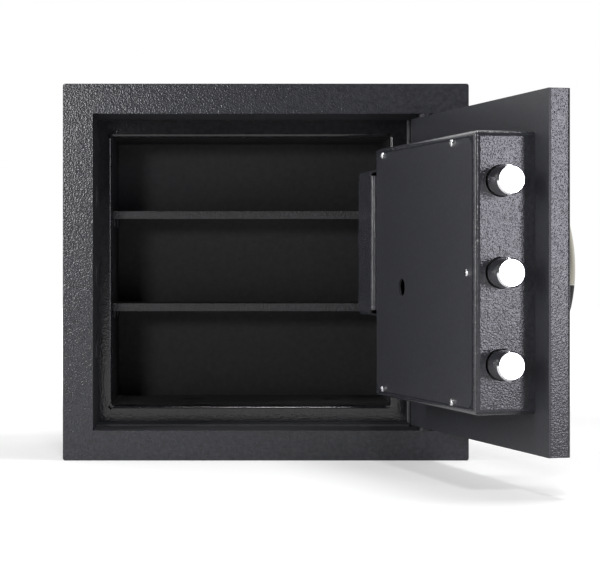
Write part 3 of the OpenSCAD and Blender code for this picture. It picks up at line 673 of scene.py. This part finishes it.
def put_screw(node, name, seat, stance, turn):
    """Put a copy of the screw on its seat, in the stance that its head needs."""
    screw = copy_of(pattern)
    place = DOOR @ Matrix.Translation(seat) @ stance @ Matrix.Rotation(turn, 4, "Z")
    settle(screw, name, place, "door", bright_steel)
    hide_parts(node)


pattern = cross_screw(
    screw_radius, height=first_high.y - cover_face, shank_length=cover_face - first_low.y)
for number, ((low, high), turn) in enumerate(zip(panel_seats, PANEL_TURNS), start=1):
    middle = (low + high) / 2
    seat = Vector((middle.x, cover_face, middle.z))
    put_screw("panel_screws", f"panel_screw_{number}", seat, OUT_OF_DOOR, turn)

battery_low, battery_high = door_box("battery_box")
battery_seats = solids_of("battery_box_screws")
for number, ((low, high), turn) in enumerate(zip(battery_seats, BATTERY_TURNS), start=1):
    middle = (low + high) / 2
    above = middle.z > (battery_low.z + battery_high.z) / 2
    seat = Vector((middle.x, middle.y, battery_high.z if above else battery_low.z))
    put_screw("battery_box_screws", f"battery_box_screw_{number}", seat,
              UPRIGHT if above else UPSIDE_DOWN, turn)
bpy.data.objects.remove(pattern)
print("screws:", len(panel_seats) + len(battery_seats))

# %% [markdown]
# ## Keys with plain numbers
#
# The lock has twelve rubber keys in four rows. A key is a small block with
# rounded sides, a soft rim and a shallow dish for the fingertip, on a stem
# that goes through the pocket's floor. The front of the keypad is arched, so
# the keys of the upper rows lean back with it: one cap is modelled square, and
# the front of each copy is leant, and its back set, as its place asks.
# The printed numbers are text that has been made a mesh, a tenth of a
# millimetre thick, and joined to the key.

# %% One key cap
CAP_DEPTH = 0.006
CORNER = 0.002
SOFT_RIM = 0.0007
RIM = 0.0009            # flat rim round the dish
DISH = 0.00035          # depth of the dish

key_low, key_high = door_box("key_1")
key_size = key_high.x - key_low.x
cap = block((key_size, key_size, CAP_DEPTH), (0, 0, -CAP_DEPTH / 2))
edit(cap)
pick_edges(cap, lambda a, b: abs(a.z - b.z) > CAP_DEPTH / 2)
bpy.ops.mesh.bevel(offset=CORNER, segments=5, affect="EDGES")
pick_rim(cap, 0)
bpy.ops.mesh.bevel(offset=SOFT_RIM, segments=3, affect="EDGES")
pick_top(cap)
bpy.ops.mesh.inset(thickness=RIM)
bpy.ops.transform.translate(value=(0, 0, -DISH))
done()
print("key cap:", len(cap.data.polygons), "faces")

# %% Printed numbers
PRINT_SIZE = 0.0068
PRINT_HALF = 0.00005    # half of the print's thickness
PRINT_PROUD = 0.00006   # its middle stands this far above the dish


def number_mesh(caption):
    """A printed character as a thin mesh that faces +Z."""
    bpy.ops.object.select_all(action="DESELECT")
    bpy.ops.object.text_add()
    text = bpy.context.object.data
    text.body = caption
    text.size = PRINT_SIZE
    text.extrude = PRINT_HALF
    text.resolution_u = 4
    bpy.ops.object.convert(target="MESH")
    printed = bpy.context.object
    edit(printed)
    bpy.ops.mesh.remove_doubles(threshold=0.00001)
    done()
    corners = [Vector(corner) for corner in printed.bound_box]
    printed.data.transform(Matrix.Translation(-(corners[0] + corners[6]) / 2))
    printed.data.materials.clear()
    printed.data.materials.append(white_print)
    return printed


def print_on(key, caption):
    """Lay a printed character in the key's dish and join it to the key."""
    printed = number_mesh(caption)
    printed.data.transform(Matrix.Translation((0, 0, PRINT_PROUD - DISH)))
    only(key)
    printed.select_set(True)
    bpy.ops.object.join()


print("printed numbers, mm:", PRINT_SIZE / MM)


# %% Where each key stands
def key_stance(node):
    """Middle of a key, its front at the upper and lower edge, back, stem and stem's end."""
    points = door_points(node)
    low, high = door_box(node)
    middle = (low + high) / 2
    near_edge = 0.3 * key_size
    beside_stem = 0.4 * key_size
    upper = min(p.y for p in points if p.z > middle.z + near_edge)
    lower = min(p.y for p in points if p.z < middle.z - near_edge)
    back = max(p.y for p in points if abs(p.x - middle.x) > beside_stem)
    stem = max(abs(p.x - middle.x) for p in points if p.y > back + MM / 2)
    return middle, upper, lower, back, stem, high.y


TOWARD_FINGER = Matrix.Rotation(math.pi / 2, 4, "X")


def fit_key(key, node):
    """Lean the front of a cap, set its back, draw its stem, and put it in its place."""
    middle, upper, lower, back, stem, stem_end = key_stance(node)
    front = (upper + lower) / 2
    lean = math.atan2(upper - lower, key_size)
    edit(key)
    pick_points(key, lambda point: point.z > -CAP_DEPTH / 2)
    bpy.ops.transform.rotate(value=lean, orient_axis="X", center_override=(0, 0, 0))
    pick_faces(key, lambda at, normal: normal.z < -0.99 and at.z < -CAP_DEPTH * 0.9)
    bpy.ops.transform.translate(value=(0, 0, front - back + CAP_DEPTH))
    bpy.ops.mesh.inset(thickness=key_size / 2 - stem)
    bpy.ops.mesh.extrude_region_move(
        TRANSFORM_OT_translate={"value": (0, 0, back - stem_end)})
    done()
    stands_at = Matrix.Translation((middle.x, front, middle.z))
    key.data.transform(DOOR @ stands_at @ TOWARD_FINGER)


# %% The twelve keys
CAPTIONS = "123456789*0#"
for number, caption in enumerate(CAPTIONS, start=1):
    node = f"key_{number}"
    key = copy_of(cap)
    key.data.materials.append(key_rubber)
    print_on(key, caption)
    fit_key(key, node)
    shade_smooth(key, 30)
    key.name = f"key_cap_{number}"
    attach(key, f"key_{number}_body")
    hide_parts(node)
bpy.data.objects.remove(cap)
print("keys:", CAPTIONS)

# %% [markdown]
# ## Lever and rose
#
# A solid lever draws the bolts. On the real thing it is a casting: a round hub
# on the shaft, and an arm that narrows in the middle, swells at the end and
# bends a little towards the door. The arm starts as a block that is cut into
# slices. Each slice is scaled and shifted, and a subdivision surface rounds
# the whole. The rose is a turned disc with a soft rim and a shallow step.

# %% Where the lever stands
shaft_low, shaft_high = door_box("shaft")
rose_low, rose_high = door_box("lever_rose")
shaft_radius = (shaft_high.x - shaft_low.x) / 2
axis_place = Vector(((rose_low.x + rose_high.x) / 2, 0, (rose_low.z + rose_high.z) / 2))
lever_points = door_points("lever")
lever_back = max(point.y for point in lever_points)
lever_front = min(point.y for point in lever_points)


def from_axis(point):
    """From the shaft's axis straight out to a point."""
    return Vector((point.x - axis_place.x, 0, point.z - axis_place.z))


tip = max(lever_points, key=lambda point: from_axis(point).length)
reach = from_axis(tip).length
hangs = math.atan2(from_axis(tip).z, from_axis(tip).x)
hub_radius = max(from_axis(p).length for p in lever_points if p.y > lever_back - MM)
hub_length = lever_back - lever_front
print("lever, mm:", round(reach / MM, 1), "hangs at", round(math.degrees(hangs)), "degrees")

# %% Arm of the lever
ARM_T = 0.012
ARM_DRAWN = 0.092       # the slices are drawn for an arm of this length
ARM_SLICES = (          # place along the arm, width, thickness, bend to the door
    (0.0, 0.017, 0.012, 0.0),
    (0.011, 0.0165, 0.012, 0.0),
    (0.024, 0.0148, 0.0112, 0.0003),
    (0.042, 0.0138, 0.0104, 0.0012),
    (0.060, 0.0142, 0.0100, 0.0024),
    (0.076, 0.0154, 0.0098, 0.0038),
    (0.087, 0.0156, 0.0094, 0.0048),
    (0.0918, 0.0110, 0.0070, 0.0052),
)

arm = block((1, 1, 1), (0.5, 0, 0))
edit(arm)
pick_edges(arm, lambda a, b: abs(a.x - b.x) > 0.9)
bpy.ops.mesh.subdivide(number_cuts=len(ARM_SLICES) - 2)
last = len(ARM_SLICES) - 1
for step in range(last, -1, -1):
    along, width, thickness, bend = ARM_SLICES[step]
    cut_x = step / last
    pick_points(arm, lambda point: abs(point.x - cut_x) < 0.01)
    bpy.ops.transform.resize(value=(1, width, thickness), center_override=(cut_x, 0, 0))
    shift = (along * reach / ARM_DRAWN - cut_x, 0, hub_length - ARM_T / 2 - bend)
    bpy.ops.transform.translate(value=shift)
done()
apply_modifier(arm, "SUBSURF", levels=3, render_levels=3)
print("arm:", len(arm.data.polygons), "faces")

# %% Lever
HUB_SIDES = 64
HUB_RIM, HUB_FOOT = 0.003, 0.0006       # softening in front and at the rose
PRESS_PLAY, TURN_PLAY = 0.00005, 0.0005     # round the shaft, where a hole is fast or free
BIT_START = 0.002


def drill(piece, radius, depth):
    """A round hole from the back of the piece, along +Z."""
    bit = rod(radius, depth + BIT_START, sides=48, foot=(0, 0, -BIT_START))
    combine(piece, bit, "DIFFERENCE")


lever = rod(hub_radius, hub_length, HUB_SIDES)
edit(lever)
pick_rim(lever, hub_length)
bpy.ops.mesh.bevel(offset=HUB_RIM, segments=5, affect="EDGES")
pick_rim(lever, 0)
bpy.ops.mesh.bevel(offset=HUB_FOOT, segments=2, affect="EDGES")
done()
combine(lever, arm, "UNION")
drill(lever, shaft_radius + PRESS_PLAY, lever_back - shaft_low.y)
on_shaft = Matrix.Translation((axis_place.x, lever_back, axis_place.z))
lever_place = DOOR @ on_shaft @ TOWARD_FINGER @ Matrix.Rotation(hangs, 4, "Z")
settle(lever, "lever_casting", lever_place, "handle", satin_nickel, smooth=50)
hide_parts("lever")
print("lever:", len(lever.data.polygons), "faces")

# %% Rose
ROSE_SIDES = 96
ROSE_SOFT = 0.0022
STEP_IN, STEP_DOWN, STEP_TAPER = 0.006, 0.0006, 0.97

rose_radius = (rose_high.x - rose_low.x) / 2
rose_depth = rose_high.y - rose_low.y
rose = rod(rose_radius, rose_depth, ROSE_SIDES)
edit(rose)
pick_rim(rose, rose_depth)
bpy.ops.mesh.bevel(offset=ROSE_SOFT, segments=6, affect="EDGES")
pick_top(rose)
bpy.ops.mesh.inset(thickness=STEP_IN)
bpy.ops.mesh.extrude_region_move(TRANSFORM_OT_translate={"value": (0, 0, -STEP_DOWN)})
bpy.ops.transform.resize(value=(STEP_TAPER, STEP_TAPER, 1))
done()
drill(rose, shaft_radius + TURN_PLAY, rose_depth + BIT_START)
on_door = Matrix.Translation((axis_place.x, rose_high.y, axis_place.z))
settle(rose, "lever_rose_disc", DOOR @ on_door @ TOWARD_FINGER, "door",
       satin_nickel)
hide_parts("lever_rose")
print("rose, mm:", round(2 * rose_radius / MM, 1))

# %% [markdown]
# ## Carpet on the compartment's floor
#
# A thin felt lies loose on the floor. It was cut by hand, so its front edge
# isn't quite straight, and it curls up a little here and there. It starts as a
# flat grid. The points of the two front rows are pushed a little, column by
# column, by waves of different lengths. A solidify modifier gives the felt its
# thickness, and two round holes free the anchor holes.

# %% Carpet
COLUMNS, ROWS = 84, 28
EDGE_ROOM = 0.0008      # the felt is this much shorter than its place
LONG_WAVE, SHORT_WAVE, CURL_WAVE = 147, 331, 83     # radians for each metre along the edge
STRAY = 0.0004          # how far the knife strayed along the front edge
CURL = 0.0009           # how high the front edge curls up
CURL_BEHIND = 0.35      # share of the curl that the second row takes
ANCHOR_X, ANCHOR_Y, ACCESS_RADIUS = 0.075, 0.023, 0.013
PUNCH_LENGTH = 0.04

felt_low, felt_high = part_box("floor_carpet")
felt_w, felt_l, felt_t = felt_high - felt_low
felt_middle = (felt_low + felt_high) / 2
bpy.ops.object.select_all(action="DESELECT")
bpy.ops.mesh.primitive_grid_add(x_subdivisions=COLUMNS, y_subdivisions=ROWS, size=1)
felt = bpy.context.object
felt.scale = (felt_w, felt_l - EDGE_ROOM, 1)
felt.location = (felt_middle.x, felt_middle.y + EDGE_ROOM / 2, felt_low.z)
place_in_mesh(felt)
print("carpet, mm:", [round(size / MM, 1) for size in (felt_w, felt_l, felt_t)])


# %% Edge cut by hand
def pick_knot(column_x, row_number):
    """Select the point where a column and a row of the grid cross."""
    row = felt_l / ROWS
    nearest = felt_low.y + (row_number - 0.4) * row
    pick_points(felt, lambda p: abs(p.x - column_x) < 0.0005 and nearest < p.y < nearest + row)


edit(felt)
for column in range(COLUMNS + 1):
    x = felt_low.x + felt_w * column / COLUMNS
    stray = 0.6 * math.sin(x * LONG_WAVE) + 0.4 * math.sin(x * SHORT_WAVE + 1.0)
    curl = CURL * max(0.0, math.sin(x * CURL_WAVE + 0.6))
    pick_knot(x, 0)
    bpy.ops.transform.translate(value=(0, STRAY * stray, curl))
    pick_knot(x, 1)
    bpy.ops.transform.translate(value=(0, 0, curl * CURL_BEHIND))
done()
apply_modifier(felt, "SOLIDIFY", thickness=felt_t, offset=1)
for side in (-1, 1):
    foot = (side * ANCHOR_X, ANCHOR_Y, felt_low.z - PUNCH_LENGTH / 2)
    combine(felt, rod(ACCESS_RADIUS, PUNCH_LENGTH, sides=40, foot=foot), "DIFFERENCE")
settle(felt, "carpet_felt", Matrix.Identity(4), "safe_body", carpet)
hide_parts("floor_carpet")
print("carpet:", len(felt.data.polygons), "faces")

# %% [markdown]
# ## Finish for each node
#
# The record names a finish slot for every node, so one table from slot to
# material dresses nearly all of them. The face frame, the liner and the shelves
# have the same coat as the rest, so a second table gives each a version of its
# own: the face frame's and the liner's turn matte behind their fronts, and the
# liner's and the shelves' are darker, which is painted shade for the compartment.

# %% Dress the nodes
FINISHES = {
    "textured_coat": coarse_coat,
    "smooth_coat": fine_coat,
    "filling": filling,
    "carpet": carpet,
    "bright_steel": bright_steel,
    "black_steel": black_steel,
    "bronze": bronze,
    "zinc_plate": zinc_plate,
    "satin_nickel": satin_nickel,
    "black_plastic": black_plastic,
    "battery_wrap": battery_wrap,
    "key_rubber": key_rubber,
}
OWN_COAT = {
    "face_frame": frame_coat,
    "inner_liner": inside_coat,
    "shelf_brackets": inside_coat,
    "shelf_upper": shelf_coat,
    "shelf_lower": shelf_coat,
}
slot_of = {part["node"]: part["material_slot"] for part in frame["record"]["subparts"]}
for name, piece in nodes.items():
    piece.data.materials.clear()
    piece.data.materials.append(OWN_COAT.get(name, FINISHES[slot_of[name]]))
print("nodes dressed:", len(nodes))

# %% [markdown]
# ## Softened edges
#
# A coated edge is never sharp: the powder flows round it and leaves a fine
# bright line. The nodes came as exact solids with sharp edges, so four
# modifiers soften them without touching their meshes: the loose triangles are
# welded, flat ones are merged, the edges are bevelled, and the normals are
# weighted by the size of the faces, which keeps the flat sides flat.

# %% Soften the edges
WELD_WITHIN = 0.00001
FLAT_WITHIN = math.radians(0.5)
SHARP_FROM = math.radians(40)
SOFT_EDGES = {
    "door_pan": 0.0007, "face_frame": 0.0007, "boltwork_cover": 0.0005,
    "cover_panel": 0.0004, "battery_box": 0.0004, "keypad_housing": 0.0005,
    "keypad_battery_cover": 0.0004, "shelf_upper": 0.0004, "shelf_lower": 0.0004,
}


def soften(piece, width):
    """Round a node's sharp edges by a width."""
    weld = piece.modifiers.new("weld", "WELD")
    weld.merge_threshold = WELD_WITHIN
    merge = piece.modifiers.new("merge_flat", "DECIMATE")
    merge.decimate_type = "DISSOLVE"
    merge.angle_limit = FLAT_WITHIN
    edge = piece.modifiers.new("edge", "BEVEL")
    edge.width = width
    edge.segments = 2
    edge.limit_method = "ANGLE"
    edge.angle_limit = SHARP_FROM
    edge.miter_outer = "MITER_ARC"
    flat = piece.modifiers.new("flat", "WEIGHTED_NORMAL")
    flat.keep_sharp = False
    flat.weight = 100


for node, width in SOFT_EDGES.items():
    soften(nodes[node], width)
print("edges softened:", len(SOFT_EDGES))

# %% [markdown]
# ## Keep the sizes and finish
#
# Dressing the safe must not change its size, so the box of the bare shapes and
# the box of the finished ones are kept side by side.

# %% Sizes
shown_box = [list(corner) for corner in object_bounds()]
grown = [Vector(shown) - Vector(built) for shown, built in zip(shown_box, built_box)]
print("low and high corner moved by, mm:", [[round(x / MM, 2) for x in move] for move in grown])
